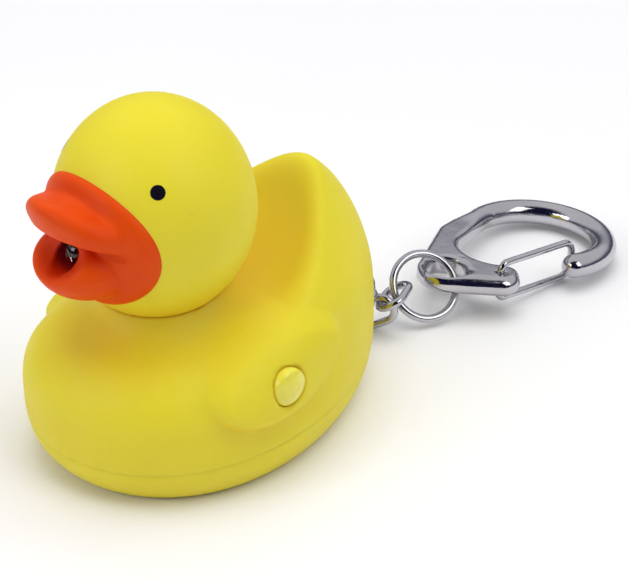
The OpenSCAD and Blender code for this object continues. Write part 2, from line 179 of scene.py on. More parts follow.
def surface_net(field, low, high, step):
    """Closed quad mesh of field = 0: one vertex per crossed cell, moved onto the surface."""
    low = np.array(low, float)
    count = np.ceil((np.array(high, float) - low) / step).astype(int) + 1
    axes = [low[i] + step * np.arange(count[i]) for i in range(3)]
    values = field(*np.meshgrid(*axes, indexing="ij"))
    inside = values < 0

    # a cell is crossed when some, but not all, of its eight corners are inside
    filled = np.zeros(count - 1, int)
    corners = [(i, j, k) for i in (0, 1) for j in (0, 1) for k in (0, 1)]
    across, deep, high_up = count - 1
    for i, j, k in corners:
        filled += inside[i:across + i, j:deep + j, k:high_up + k]
    active = (filled > 0) & (filled < 8)
    number = np.full(active.shape, -1)
    number[active] = np.arange(active.sum())
    cells = np.argwhere(active)
    total = np.zeros((len(cells), 3))
    hits = np.zeros(len(cells))

    # its vertex starts at the mean of the crossings on its twelve edges
    for a in corners:
        for axis in range(3):
            if a[axis]:
                continue
            b = tuple(1 if d == axis else a[d] for d in range(3))
            fa = values[tuple((cells + a).T)]
            fb = values[tuple((cells + b).T)]
            crossed = (fa < 0) != (fb < 0)
            place = np.tile(np.array(a, float), (len(cells), 1))
            place[:, axis] = np.where(crossed, fa / np.where(crossed, fa - fb, 1), 0)
            total[crossed] += place[crossed]
            hits[crossed] += 1
    points = low + step * (cells + total / hits[:, None])

    # a few short steps along the slope put every vertex on the surface
    for _ in range(4):
        slope = gradient(field, points, step * 0.2)
        size = np.maximum((slope ** 2).sum(1), 0.05)
        move = -(field(*points.T) / size)[:, None] * slope
        length = np.linalg.norm(move, axis=1, keepdims=True)
        points = points + move * np.minimum(1, 0.5 * step / np.maximum(length, 1e-9))

    # one face for every grid edge that the surface crosses
    faces = []
    for axis in range(3):
        here = [slice(None)] * 3
        there = [slice(None)] * 3
        here[axis] = slice(0, -1)
        there[axis] = slice(1, None)
        first = inside[tuple(here)]
        edges = np.argwhere(first != inside[tuple(there)])
        u, w = [d for d in range(3) if d != axis]

        def cell(du, dw):
            near = edges.copy()
            near[:, u] -= du
            near[:, w] -= dw
            return number[tuple(near.T)]

        quads = np.stack([cell(1, 1), cell(0, 1), cell(0, 0), cell(1, 0)], -1)
        flip = first[tuple(edges.T)]
        if axis == 1:
            flip = ~flip
        quads[~flip] = quads[~flip][:, ::-1]
        faces.append(quads)
    return points, np.concatenate(faces)


# ---------------------------------------------------------------- mesh helpers
def piece(name, points, faces, material, body, slot, *nodes):
    """A smooth shaded object from points in millimetres that stands for CAD nodes."""
    mesh = bpy.data.meshes.new(name)
    mesh.from_pydata((np.asarray(points) * MM).tolist(), [], [list(face) for face in faces])
    mesh.validate()
    mesh.update()
    mesh.polygons.foreach_set("use_smooth", [True] * len(mesh.polygons))
    thing = bpy.data.objects.new(name, mesh)
    bpy.context.scene.collection.objects.link(thing)
    mesh.materials.append(material)
    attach(thing, body)
    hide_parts(*nodes)


def moulded(name, field, low, high, step, material, body, slot, *nodes):
    """A piece whose surface is field = 0 inside the box from low to high."""
    points, faces = surface_net(field, low, high, step / FINE)
    piece(name, points, faces, material, body, slot, *nodes)


def unit(v):
    v = np.asarray(v, float)
    return v / np.linalg.norm(v)


def tube(path, radius, closed, sides=24):
    """Round wire swept along a path without twist, with round caps when it is open."""
    path = np.asarray(path, float)
    n = len(path)
    if closed:
        along = np.roll(path, -1, 0) - np.roll(path, 1, 0)
    else:
        along = np.gradient(path, axis=0)
    along /= np.linalg.norm(along, axis=1, keepdims=True)
    side = unit(np.cross(along[0], [0.31, 0.17, 0.93]))
    frames = []
    for d in along:
        side = unit(side - d * (side @ d))
        frames.append(side)
    frames = np.array(frames)

    # a closed path comes back turned, and each ring takes its share of that turn
    twist = 0.0
    if closed:
        last = unit(frames[-1] - along[0] * (frames[-1] @ along[0]))
        up = np.cross(along[0], frames[0])
        twist = -math.atan2(last @ up, last @ frames[0])
    rings = []
    for i in range(n):
        angle = np.linspace(0, 2 * math.pi, sides, endpoint=False) + twist * i / n
        up = np.cross(along[i], frames[i])
        rings.append((path[i], np.cos(angle)[:, None] * frames[i] + np.sin(angle)[:, None] * up))
    if closed:
        points = np.concatenate([c + radius * r for c, r in rings])
        loops = n
    else:
        caps = np.radians([80, 60, 40, 20])
        first, first_round = rings[0]
        last, last_round = rings[-1]
        head = []
        tail = []
        for a in caps:
            head.append(first - along[0] * radius * math.sin(a) + radius * math.cos(a) * first_round)
        for a in caps[::-1]:
            tail.append(last + along[-1] * radius * math.sin(a) + radius * math.cos(a) * last_round)
        points = np.concatenate(head + [c + radius * r for c, r in rings] + tail)
        loops = n + 2 * len(caps)
    faces = []
    for i in range(loops if closed else loops - 1):
        a = i * sides
        b = (i + 1) % loops * sides
        for k in range(sides):
            m = (k + 1) % sides
            faces.append([a + k, a + m, b + m, b + k])
    if not closed:
        faces.append(list(range(sides))[::-1])
        faces.append([(loops - 1) * sides + k for k in range(sides)])
    return points, faces


def wire_piece(name, path, radius, body, closed, node):
    points, faces = tube(path, radius, closed)
    piece(name, points, faces, CHROME, body, "chrome_metal", node)


# ---------------------------------------------------------------- materials
class Shader:
    """Small helper that builds one procedural Principled material."""

    def __init__(self, name):
        self.material = bpy.data.materials.new(name)
        self.material.use_nodes = True
        self.nodes = self.material.node_tree.nodes
        self.links = self.material.node_tree.links
        self.surface = self.nodes["Principled BSDF"]
        self.place = self.nodes.new("ShaderNodeTexCoord").outputs["Object"]

    def set(self, **values):
        for key, value in values.items():
            self.surface.inputs[key.replace("_", " ")].default_value = value

    def noise(self, scale, detail=3.0, rough=0.5):
        node = self.nodes.new("ShaderNodeTexNoise")
        node.inputs["Scale"].default_value = scale
        node.inputs["Detail"].default_value = detail
        node.inputs["Roughness"].default_value = rough
        self.links.new(self.place, node.inputs["Vector"])
        return node.outputs["Fac"]

    def ramp(self, value, low, high, start, end):
        node = self.nodes.new("ShaderNodeMapRange")
        node.inputs["From Min"].default_value = low
        node.inputs["From Max"].default_value = high
        node.inputs["To Min"].default_value = start
        node.inputs["To Max"].default_value = end
        self.links.new(value, node.inputs["Value"])
        return node.outputs["Result"]

    def mix(self, factor, first, second):
        node = self.nodes.new("ShaderNodeMix")
        node.data_type = "RGBA"
        self.links.new(factor, node.inputs["Factor"])
        # inputs 6 and 7 and output 2 are the Mix node's color sockets
        for socket, value in ((node.inputs[6], first), (node.inputs[7], second)):
            if isinstance(value, tuple):
                socket.default_value = (*value, 1)
            else:
                self.links.new(value, socket)
        return node.outputs[2]

    def color(self, output):
        self.links.new(output, self.surface.inputs["Base Color"])

    def roughness(self, output):
        self.links.new(output, self.surface.inputs["Roughness"])

    def bump(self, heights):
        """heights is a list of (output, distance in metres), laid over each other."""
        last = None
        for height, distance in heights:
            node = self.nodes.new("ShaderNodeBump")
            node.inputs["Distance"].default_value = distance
            node.inputs["Strength"].default_value = 1.0
            self.links.new(height, node.inputs["Height"])
            if last is not None:
                self.links.new(last, node.inputs["Normal"])
            last = node.outputs["Normal"]
        self.links.new(last, self.surface.inputs["Normal"])

    def axis(self, name):
        """X, Y or Z of the place on the object, in metres."""
        node = self.nodes.new("ShaderNodeSeparateXYZ")
        self.links.new(self.place, node.inputs[0])
        return node.outputs[name]

    def shelter(self, distance):
        """1 in the open, towards 0 deep in a crease."""
        node = self.nodes.new("ShaderNodeAmbientOcclusion")
        node.inputs["Distance"].default_value = distance
        return node.outputs["AO"]

    def math(self, operation, *values):
        node = self.nodes.new("ShaderNodeMath")
        node.operation = operation
        for socket, value in zip(node.inputs, values):
            if isinstance(value, (int, float)):
                socket.default_value = value
            else:
                self.links.new(value, socket)
        return node.outputs[0]


def yellow_vinyl():
    s = Shader("yellow_vinyl")
    s.set(Subsurface_Weight=0.18, Subsurface_Radius=(1.0, 0.7, 0.12), Subsurface_Scale=0.0018)
    s.set(Specular_IOR_Level=0.42, Coat_Weight=0.05, Coat_Roughness=0.45)
    broad = s.ramp(s.noise(90, 2), 0.35, 0.65, 0, 1)
    tone = s.mix(broad, (0.79, 0.675, 0.018), (0.82, 0.705, 0.024))
    specks = s.ramp(s.noise(1500, 2), 0.70, 0.78, 0, 0.35)
    speckled = s.mix(specks, tone, (0.70, 0.56, 0.02))

    # painted shade: sheltered creases are tinted a deep warm yellow, standing in for shade and light
    # bounced inside them; the foot of the body near the floor is left out
    off_floor = s.ramp(s.axis("Z"), 0.005, 0.011, 0.1, 1)
    painted_crease_shade = s.math("MULTIPLY", s.ramp(s.shelter(0.014), 0.35, 0.95, 0.8, 0), off_floor)
    # the base colour here carries painted crease shade on top of the vinyl's tone and specks
    s.color(s.mix(painted_crease_shade, speckled, (0.78, 0.47, 0.0)))
    s.roughness(s.ramp(s.noise(400, 4), 0.3, 0.7, 0.50, 0.62))
    s.bump([(s.noise(2600, 3), 0.000012), (s.noise(260, 2), 0.00004)])
    return s.material


def button_plastic():
    s = Shader("button_yellow")
    s.set(Subsurface_Weight=0.15, Subsurface_Radius=(1.0, 0.7, 0.15), Subsurface_Scale=0.001)
    s.set(Coat_Weight=0.35, Coat_Roughness=0.12)
    s.color(s.mix(s.ramp(s.noise(500, 2), 0.3, 0.7, 0, 1), (0.82, 0.73, 0.05), (0.85, 0.77, 0.08)))
    s.roughness(s.ramp(s.noise(700, 3), 0.3, 0.7, 0.20, 0.32))
    s.bump([(s.noise(3000, 2), 0.000006)])
    return s.material


def beak_vinyl():
    s = Shader("beak_orange")
    s.set(Subsurface_Weight=0.22, Subsurface_Radius=(1.0, 0.22, 0.06), Subsurface_Scale=0.0014)
    s.set(Specular_IOR_Level=0.14, Coat_Weight=0.02, Coat_Roughness=0.3)
    broad = s.ramp(s.noise(180, 2), 0.3, 0.7, 0, 1)
    tone = s.mix(broad, (0.74, 0.062, 0.0), (0.80, 0.082, 0.001))
    specks = s.ramp(s.noise(1800, 2), 0.70, 0.80, 0, 0.4)
    speckled = s.mix(specks, tone, (0.55, 0.025, 0.002))
    # painted shade: sheltered creases of the beak are darkened towards a deeper orange
    speckled = s.mix(s.ramp(s.shelter(0.006), 0.35, 0.95, 0.8, 0), speckled, (0.60, 0.018, 0.002))

    # painted shade: the wall of the mouth hole is darkened to a deep red, standing in for the shade deep
    # inside the hole
    height = s.math("SUBTRACT", s.axis("Z"), MOUTH_Z * MM)
    away = s.math("SQRT", s.math("ADD", s.math("POWER", s.axis("X"), 2), s.math("POWER", height, 2)))
    behind = s.ramp(s.axis("Y"), -0.0202, -0.0194, 0, 1)
    painted_mouth_shade = s.math("MULTIPLY", s.ramp(away, 0.00165, 0.0019, 1, 0), behind)
    s.color(s.mix(s.math("MULTIPLY", painted_mouth_shade, 0.85), speckled, (0.30, 0.004, 0.010)))
    s.roughness(s.ramp(s.noise(600, 3), 0.3, 0.7, 0.42, 0.55))
    s.bump([(s.noise(2400, 3), 0.000012), (s.noise(350, 2), 0.00003)])
    return s.material


def eye_paint():
    s = Shader("eye_black")
    s.set(Specular_IOR_Level=0.12, Coat_Weight=0.03, Coat_Roughness=0.2)
    s.color(s.mix(s.ramp(s.noise(2500, 2), 0.3, 0.7, 0, 1), (0.002, 0.001, 0.006), (0.005, 0.004, 0.012)))
    s.roughness(s.ramp(s.noise(1800, 3), 0.3, 0.7, 0.35, 0.5))
    s.bump([(s.noise(3500, 2), 0.000006)])
    return s.material


def clear_lens():
    s = Shader("led_clear")
    s.set(Transmission_Weight=1.0, IOR=1.5, Coat_Weight=0.5, Coat_Roughness=0.03)
    # the slight pink tint is a painted reflection of the red mouth around the lens
    s.color(s.mix(s.ramp(s.noise(900, 2), 0.3, 0.7, 0, 1), (0.95, 0.88, 0.88), (0.98, 0.93, 0.93)))
    s.roughness(s.ramp(s.noise(1200, 2), 0.3, 0.7, 0.02, 0.06))
    s.bump([(s.noise(700, 1), 0.000003)])
    return s.material


def plated_metal():
    s = Shader("chrome_metal")
    s.set(Metallic=1.0)
    broad = s.ramp(s.noise(160, 3), 0.3, 0.7, 0, 1)
    s.color(s.mix(broad, (0.50, 0.49, 0.52), (0.58, 0.57, 0.60)))
    s.roughness(s.ramp(s.noise(1800, 4), 0.35, 0.75, 0.07, 0.20))
    s.bump([(s.noise(420, 2), 0.00003), (s.noise(3800, 3), 0.000005)])
    return s.material


def plain_steel():
    s = Shader("steel")
    s.set(Metallic=1.0)
    s.color(s.mix(s.ramp(s.noise(300, 3), 0.3, 0.7, 0, 1), (0.50, 0.50, 0.52), (0.62, 0.62, 0.63)))
    s.roughness(s.ramp(s.noise(1500, 4), 0.3, 0.7, 0.25, 0.42))
    s.bump([(s.noise(2500, 3), 0.00001)])
    return s.material


def moulding(name, dark, pale, rough=0.45):
    s = Shader(name)
    s.color(s.mix(s.ramp(s.noise(400, 3), 0.3, 0.7, 0, 1), dark, pale))
    s.roughness(s.ramp(s.noise(900, 3), 0.3, 0.7, rough - 0.07, rough + 0.08))
    s.bump([(s.noise(2600, 3), 0.00001)])
    return s.material


YELLOW = yellow_vinyl()
BUTTON = button_plastic()
ORANGE = beak_vinyl()
BLACK = eye_paint()
LENS = clear_lens()
CHROME = plated_metal()
STEEL = plain_steel()
BY_SLOT = {
    "yellow_vinyl": YELLOW,
    "button_yellow": BUTTON,
    "beak_orange": ORANGE,
    "eye_black": BLACK,
    "led_clear": LENS,
    "chrome_metal": CHROME,
    "steel": STEEL,
    "board_brown": moulding("board_brown", (0.18, 0.10, 0.03), (0.26, 0.16, 0.05)),
    "black_plastic": moulding("black_plastic", (0.010, 0.010, 0.012), (0.022, 0.022, 0.025)),
    "cradle_white": moulding("cradle_white", (0.62, 0.62, 0.56), (0.74, 0.74, 0.68)),
    "wire_red_black": moulding("wire_red_black", (0.35, 0.02, 0.015), (0.45, 0.035, 0.02), 0.38),
}

# the CAD parts that no visual piece stands for are seen as they are, with the material of their slot
slot_of = {part["node"]: part["material_slot"] for part in frame["record"]["subparts"]}
for node_name, thing in frame["nodes"].items():
    thing.data.materials.clear()
    thing.data.materials.append(BY_SLOT[slot_of[node_name]])
    thing.data.polygons.foreach_set("use_smooth", [True] * len(thing.data.polygons))


# ---------------------------------------------------------------- the duck's body
def body_field(x, y, z):
    """Outside of the duck's body with its collar and wing pads, without the button's hole."""
    far = y / HALF_LENGTH
    tail_narrow = 1 - 0.35 * ease((z - 14) / 16)
    half = HALF_WIDTH * (1 - TAPER * far) * tail_narrow
    rho = np.sqrt((x / half) ** 2 + far ** 2)
    top = CHEST_TOP + TAIL_RISE * ease((y + 9.6) / 21.1)
    rise = z - WIDE_Z
    power = np.where(rise > 0, ROUND_ABOVE, ROUND_BELOW)
    height = np.where(rise > 0, top, BELOW)
    skin = ((rho ** power + np.abs(rise / height) ** power) ** (1 / power) - 1) * HALF_WIDTH * 0.8

    # the back is hollowed like a saddle, and rises to the tail
    behind = np.maximum(y - SADDLE_Y, 0)
    curve = np.where(y > SADDLE_Y, 0.06, 0.02)
    saddle = SADDLE_Z + curve * (y - SADDLE_Y) ** 2 + 0.0025 * x * x * behind
    hollow = (z - saddle) / np.sqrt(1 + (0.12 * behind) ** 2)
    skin = smooth_max(skin, hollow, 2.0)

    # the collar under the head, the wing pads and the flat base
    collar = np.maximum(np.sqrt(x * x + (y - HEAD_AT[1]) ** 2) - COLLAR_R, np.abs(z - 19) - 5)
    skin = smooth_min(skin, collar, 4.2)
    skin = smooth_max(skin - wing_height(x, y, z), np.abs(x) - WING_X, 0.3)
    return smooth_max(skin, -z, 0.6)


def wing_height(x, y, z):
    """Soft oval pad on each side, with a shallow moat around it."""
    u = (y - WING_AT[0]) / WING_SIZE[0]
    v = (z - WING_AT[1] - WING_SLANT * (y - WING_AT[0])) / WING_SIZE[1]
    out = np.sqrt(u * u + v * v)
    steep = np.sqrt((u / WING_SIZE[0]) ** 2 + (v / WING_SIZE[1]) ** 2) / np.maximum(out, 0.05)
    away = (out - 1) / np.maximum(steep, 0.05)      # millimetres outside the oval
    side = ease((np.abs(x) - 5) / 3)
    ramp = 1.2 + 0.9 * ease((v + 0.3) / 0.8)
    pad = WING_PAD * ease(0.2 - away / ramp)
    beyond = away - 0.5
    moat = np.exp(-(beyond / np.where(beyond < 0, 0.9, 2.4)) ** 2)
    depth = WING_MOAT - 0.22 * ease((v + 0.2) / 0.9) - 0.12 * ease((u - 0.2) / 0.8)
    return (pad - depth * moat) * side


def head_field(x, y, z):
    return ellipsoid(x, y, z, HEAD_AT, (HEAD_R, HEAD_R, HEAD_RZ))


def button_hole(x, y, z, radius):
    """The button's bore, from inside the body outwards on its own side."""
    away = np.sqrt((y - BUTTON_Y) ** 2 + (z - BUTTON_Z) ** 2) - radius
    return np.maximum(away, 9 - x)


def cavity(x, y, z):
    """The hollow inside the casing."""
    return smooth_max(body_field(x, y, z) + WALL, FLOOR_INSIDE - z, 0.5)


def shell_field(x, y, z):
    """The upper moulding: hollow, open at the seam, at the neck and at the button."""
    skin = body_field(x, y, z)
    skin = np.maximum(skin, -cavity(x, y, z))
    skin = smooth_max(skin, SEAM_Z - z, 0.012)
    skin = np.maximum(skin, -0.08 - head_field(x, y, z))
    neck = np.sqrt(x * x + (y - HEAD_AT[1]) ** 2) - NECK_R - 0.1
    skin = np.maximum(skin, -np.maximum(neck, 12 - z))
    return smooth_max(skin, -button_hole(x, y, z, BUTTON_R + 0.02), 0.25)


def cover_field(x, y, z):
    """The lower moulding, with sound holes and screw posts."""
    skin = body_field(x, y, z)
    skin = np.maximum(skin, -cavity(x, y, z))
    skin = smooth_max(skin, z - SEAM_Z, 0.012)

    # a thin tongue behind the seam, so that no light falls through it
    inset = body_field(x, y, z) + 0.06
    tongue = np.maximum(np.abs(inset + 0.3) - 0.3, np.abs(z - SEAM_Z) - 0.45)
    skin = np.minimum(skin, tongue)

    # six sound holes round a seventh, under the speaker
    for i in range(7):
        turn = math.radians(60 * i)
        reach = 0 if i == 6 else 3.2
        hx = SPEAKER_AT[0] + reach * math.cos(turn)
        hy = SPEAKER_AT[1] + reach * math.sin(turn)
        hole = np.sqrt((x - hx) ** 2 + (y - hy) ** 2) - SOUND_HOLE_R
        skin = smooth_max(skin, -np.maximum(hole, z - 2.5), 0.15)

    # a post with a well and a through hole for each screw
    for hx, hy in SCREWS_AT:
        well = np.sqrt((x - hx) ** 2 + (y - hy) ** 2) - SCREW_WELL_R
        post = np.maximum(np.sqrt((x - hx) ** 2 + (y - hy) ** 2) - 1.9, np.abs(z - 2.4) - 2.2)
        skin = np.minimum(skin, post)
        skin = smooth_max(skin, -np.maximum(well, z - 1.1), 0.12)
        skin = np.maximum(skin, -np.maximum(well + 0.75, z - 6))
    return skin


moulded("body_shell_soft", shell_field, (-18, -23.5, 4), (18, 23.5, 33.5), 0.36,
        YELLOW, "duck", "yellow_vinyl", "body_shell")
moulded("base_cover_soft", cover_field, (-17.5, -23.2, -0.5), (17.5, 23.2, 5.5), 0.30,
        YELLOW, "duck", "yellow_vinyl", "base_cover")


# ---------------------------------------------------------------- the head and the eyes
def head_shell_field(x, y, z):
    """Hollow head on its neck plug, open at the mouth."""
    across = np.sqrt(x * x + (y - HEAD_AT[1]) ** 2)
    neck = np.maximum(across - NECK_R + 0.1, np.maximum(NECK_BOTTOM - z, z - NECK_TOP))
    outside = smooth_min(head_field(x, y, z), neck, 0.3)
    inner_neck = np.maximum(across - NECK_R + WALL, z - NECK_TOP)
    inside = np.minimum(head_field(x, y, z) + WALL, inner_neck)
    mouth = np.maximum(np.sqrt(x * x + (z - MOUTH_Z) ** 2) - 4.6, y + 14)
    return np.maximum(np.maximum(outside, -inside), -mouth)


moulded("head_shell_soft", head_shell_field, (-11.5, -19.5, 15), (11.5, 4, 43), 0.34,
        YELLOW, "duck", "yellow_vinyl", "head_shell")


def eye(name, side, node):
    """Thin painted dome that follows the head; side is 1 on the button's side and -1 on the other."""
    turned = np.array([
        side * math.sin(EYE_TURN) * math.cos(EYE_LIFT),
        -math.cos(EYE_TURN) * math.cos(EYE_LIFT),
        math.sin(EYE_LIFT),
    ])
    radii = np.array([HEAD_R, HEAD_R, HEAD_RZ])
    spot = HEAD_AT + turned / np.linalg.norm(turned / radii)
    out = unit((spot - HEAD_AT) / radii ** 2)

    def field(x, y, z):
        p = np.stack([x, y, z], -1) - spot
        up = p @ out
        away = np.sqrt(np.maximum((p ** 2).sum(-1) - up ** 2, 0))
        film = np.maximum(head_field(x, y, z) - 0.02, -0.4 - up)
        return smooth_max(film, away - EYE_R, 0.06)

    moulded(name, field, spot - 1.2, spot + 1.2, 0.07, BLACK, "duck", "eye_black", node)


eye("eye_left_dome", 1, "eye_left")
eye("eye_right_dome", -1, "eye_right")


# ---------------------------------------------------------------- the beak
def beak_field(x, y, z):
    """Round plate with an arched upper bill and a bowl-shaped lower one."""
    # the plate is a thin layer on the head, with a raised rim
    on_head = head_field(x, y, z)
    across = (np.sqrt((x / PLATE_RX) ** 2 + ((z - PLATE_Z) / PLATE_RZ) ** 2) - 1) * PLATE_RZ
    rim = 0.10 * np.exp(-((across + 1.0) / 0.8) ** 2)
    plate = smooth_max(on_head - PLATE_T - rim, across, 0.5)
    plate = np.maximum(plate, y + 9)

    # the upper bill: an arched roof, cut by a wall that leans out from the mouth to the ridge;
    # ax and ay are places in the oval of the bills, and q is 1 on its edge
    ax = x / LIP_RX
    ay = -(y - LIP_Y) / LIP_RY
    q = np.sqrt(ax ** 2 + np.maximum(ay, 0) ** 2)
    front = np.maximum(ay, 0) / np.maximum(q, 0.05)
    mouth = 29.4 + 1.7 * front
    ridge = ROOF_Z + ROOF_RZ * np.sqrt(np.maximum(1 - (x / ROOF_RX) ** 2, 0.01))
    part = np.clip((z - mouth) / np.maximum(ridge - mouth, 0.2), 0, 1)
    face = (q - 0.84 - 0.16 * np.sin(part * math.pi / 2)) * 5.6
    dip = 0.6 * ease((1.02 - q) / 0.6)
    roof = (np.hypot(x / ROOF_RX, np.maximum(z - ROOF_Z, 0) / ROOF_RZ) - 1) * ROOF_RZ + dip
    upper = smooth_max(smooth_max(face, roof, 1.7), mouth - z, 0.5)

    # the lower bill: a bowl with a shallow scoop in front of the light
    bowl = ellipsoid(x, y, z, BOWL_AT, BOWL_SIZE)
    lower = smooth_max(bowl, z - mouth + 0.2, 0.8)
    scoop = np.sqrt((x / 1.1) ** 2 + (y - SCOOP_AT[0]) ** 2 + (z - SCOOP_AT[1]) ** 2) - SCOOP_R
    lower = smooth_max(lower, -scoop, 0.8)

    # joined, with a crease at the mouth's corners, a slit between the bills, and the light's hole
    whole = smooth_min(smooth_min(plate, upper, 0.8), smooth_min(plate, lower, 0.45), 0.25)
    groove = 0.45 * np.exp(-((z - mouth + 0.1) / 0.4) ** 2)
    groove = groove * ease((q - 0.6) / 0.2) * ease((1.0 - np.abs(ax)) / 0.3)
    whole = whole + groove * (on_head > 0.3)
    slit = np.maximum(np.abs(z - mouth + 0.15) - 0.2, 0.50 - q)
    whole = smooth_max(whole, -np.maximum(slit, np.abs(x) - 3.6), 0.4)
    hole = np.sqrt(x * x + (z - MOUTH_Z) ** 2) - MOUTH_R
    whole = smooth_max(whole, -np.maximum(hole, y + 13), 0.2)
    return np.maximum(whole, -0.5 - on_head)


moulded("beak_soft", beak_field, (-9.5, -25.5, 20), (9.5, -8.5, 38.5), 0.17,
        ORANGE, "duck", "beak_orange", "beak")


# ---------------------------------------------------------------- the button
def button_field(x, y, z):
    """Low dome with a flange that keeps it in the body."""
    away = np.sqrt((y - BUTTON_Y) ** 2 + (z - BUTTON_Z) ** 2)
    dome = np.sqrt((x - BUTTON_TIP + BUTTON_DOME_R) ** 2 + away ** 2) - BUTTON_DOME_R
    cap = smooth_max(np.maximum(dome, 12.2 - x), away - BUTTON_R, 0.3)
    flange = np.maximum(away - FLANGE_R, np.abs(x - FLANGE_X) - 0.2)
    return smooth_min(cap, flange, 0.2)


moulded("button_dome", button_field,
        (11.8, BUTTON_Y - 3.2, BUTTON_Z - 3.2), (17.8, BUTTON_Y + 3.2, BUTTON_Z + 3.2), 0.14,
        BUTTON, "button", "button_yellow", "button")


# ---------------------------------------------------------------- the chain
def ring_path(centre, normal, radius, count=96):
    """Points round a circle; where the circle starts makes no difference."""
    normal = unit(normal)
    across = unit(np.cross(normal, [0.3, 0.1, 1.0]))
    up = np.cross(normal, across)
    angle = np.linspace(0, 2 * math.pi, count, endpoint=False)[:, None]
    return np.asarray(centre) + radius * (np.cos(angle) * across + np.sin(angle) * up)


def own_axes(node):
    """Middle and the three axes of a CAD part, shortest first, in millimetres."""
    thing = frame["nodes"][node]
    points = np.array([thing.matrix_world @ v.co for v in thing.data.vertices]) / MM
    middle = points.mean(0)
    _, axes = np.linalg.eigh(np.cov((points - middle).T))
    spread = (points - middle) @ axes
    return middle + axes @ ((spread.max(0) + spread.min(0)) / 2), axes


def link_path(node):
    """Middle line of a link: two round ends joined by straight sides."""
    middle, axes = own_axes(node)
    bend = np.linspace(0, math.pi, 25)
    straight = np.linspace(-LINK_SIDE, LINK_SIDE, 8)[1:-1]
    side = np.full(len(straight), LINK_R)
    end = LINK_SIDE + LINK_R * np.sin(bend)
    across = np.concatenate([LINK_R * np.cos(bend), -side, -LINK_R * np.cos(bend), side])
    along = np.concatenate([end, -straight, -end, straight])
    return middle + across[:, None] * axes[:, 1] + along[:, None] * axes[:, 2]


wire_piece("jump_ring_wire", ring_path(RING_AT, RING_NORMAL, RING_R), WIRE_R, "ring", True, "jump_ring")
for number in (1, 2, 3):
    link = "chain_link_%d" % number
    wire_piece("link_%d_wire" % number, link_path(link), WIRE_R, "link_%d" % number, True, link)


# ---------------------------------------------------------------- the snap hook
def from_hook(x, y, z):
    """Coordinates in the hook's own flat frame."""
    c = math.cos(HOOK_TILT)
    s = math.sin(HOOK_TILT)
    dy = y - HOOK_AT[1]
    dz = z - HOOK_AT[2]
    return x - HOOK_AT[0], c * dy + s * dz, -s * dy + c * dz


def uneven_capsule(x, y, a, b, ra, rb):
    """Distance to the hull of two circles: at a with radius ra, and at b with radius rb."""
    a = np.array(a, float)
    d = np.array(b, float) - a
    length = np.linalg.norm(d)
    d = d / length
    px = x - a[0]
    py = y - a[1]
    along = px * d[0] + py * d[1]
    side = np.abs(-px * d[1] + py * d[0])
    k = (ra - rb) / length
    w = math.sqrt(1 - k * k)
    lean = w * along - k * side
    near = np.hypot(along, side) - ra
    far = np.hypot(along - length, side) - rb
    middle = side * w + along * k - ra
    return np.where(lean < 0, near, np.where(lean > w * length, far, middle))


def hook_field(x, y, z):
    """The cast hook: a flat outline with rounded edges, an eye, and bores for the gate's wire."""
    u, v, w = from_hook(x, y, z)
    bow_u = u - BOW_AT[0]
    bow_v = v - BOW_AT[1]
    angle = np.degrees(np.arctan2(bow_v, bow_u))
    angle = np.where(angle < -92, angle + 360, angle)
    ring = np.abs(np.hypot(bow_u, bow_v) - BOW_R) - BAR_R
    nose = np.radians(NOSE_TURN)
    foot = np.radians(FOOT_TURN)
    nose_cap = np.hypot(bow_u - BOW_R * math.cos(nose), bow_v - BOW_R * math.sin(nose)) - BAR_R
    foot_at = (BOW_AT[0] + BOW_R * math.cos(foot), BOW_AT[1] + BOW_R * math.sin(foot))
    foot_cap = np.hypot(bow_u + BOW_R, bow_v) - BAR_R
    bow = np.where(angle < NOSE_TURN, nose_cap, np.where(angle > 180, foot_cap, ring))

    # the web runs from the bow to the eye, and on to the gate's pivot, with the bow's opening cut out
    web = uneven_capsule(u, v, BOW_AT, HOOK_EYE, BOW_R + BAR_R, EYE_RIM)
    web = np.minimum(web, uneven_capsule(u, v, SIDE_AT, HOOK_EYE, SIDE_R, EYE_RIM))
    web = np.minimum(web, uneven_capsule(u, v, SIDE_AT, foot_at, SIDE_R, BAR_R))
    web = np.maximum(web, u - BOW_AT[0])
    web = np.minimum(web, uneven_capsule(u, v, HOOK_EYE, PIVOT_AT, EYE_RIM, PIVOT_RIM))
    web = np.minimum(web, uneven_capsule(u, v, (-2.0, 4.0), (6.0, 1.8), 2.0, 2.3))
    web = smooth_max(web, -uneven_capsule(u, v, (2.2, 7.7), BOW_AT, 5.4, 7.1), 0.6)
    outline = np.minimum(bow, web)
    eye_hole = HOOK_EYE_R - np.hypot(u - HOOK_EYE[0], v - HOOK_EYE[1])
    outline = smooth_max(outline, eye_hole, 0.4)

    # flat is half the thickness, edge the rounding: thin at the eye, fully round in the bow
    flat = 1.3 + 0.25 * ease((v - 9) / 5)
    edge = 0.65 + 0.65 * ease((u - v - 3.5) / 2.5)
    edge = edge + (flat - edge) * ease((v - 8) / 5)
    solid = np.hypot(np.maximum(outline + edge, 0), np.maximum(np.abs(w) - flat + edge, 0)) - edge
    solid = smooth_max(solid, 0.60 - np.hypot(u - GATE_TIP[0], v - GATE_TIP[1]), 0.12)
    return smooth_max(solid, 0.52 - np.hypot(u - PIVOT_AT[0], v - PIVOT_AT[1]), 0.15)


moulded("hook_cast", hook_field, (-9.5, 31.5, -0.8), (13, 67.5, 8.4), 0.24,
        CHROME, "hook", "chrome_metal", "hook_body")


def hook_point(u, v, w):
    """The place of a point of the hook's own flat frame."""
    c = math.cos(HOOK_TILT)
    r = math.sin(HOOK_TILT)
    return np.array([HOOK_AT[0] + u, HOOK_AT[1] + c * v - r * w, HOOK_AT[2] + r * v + c * w])


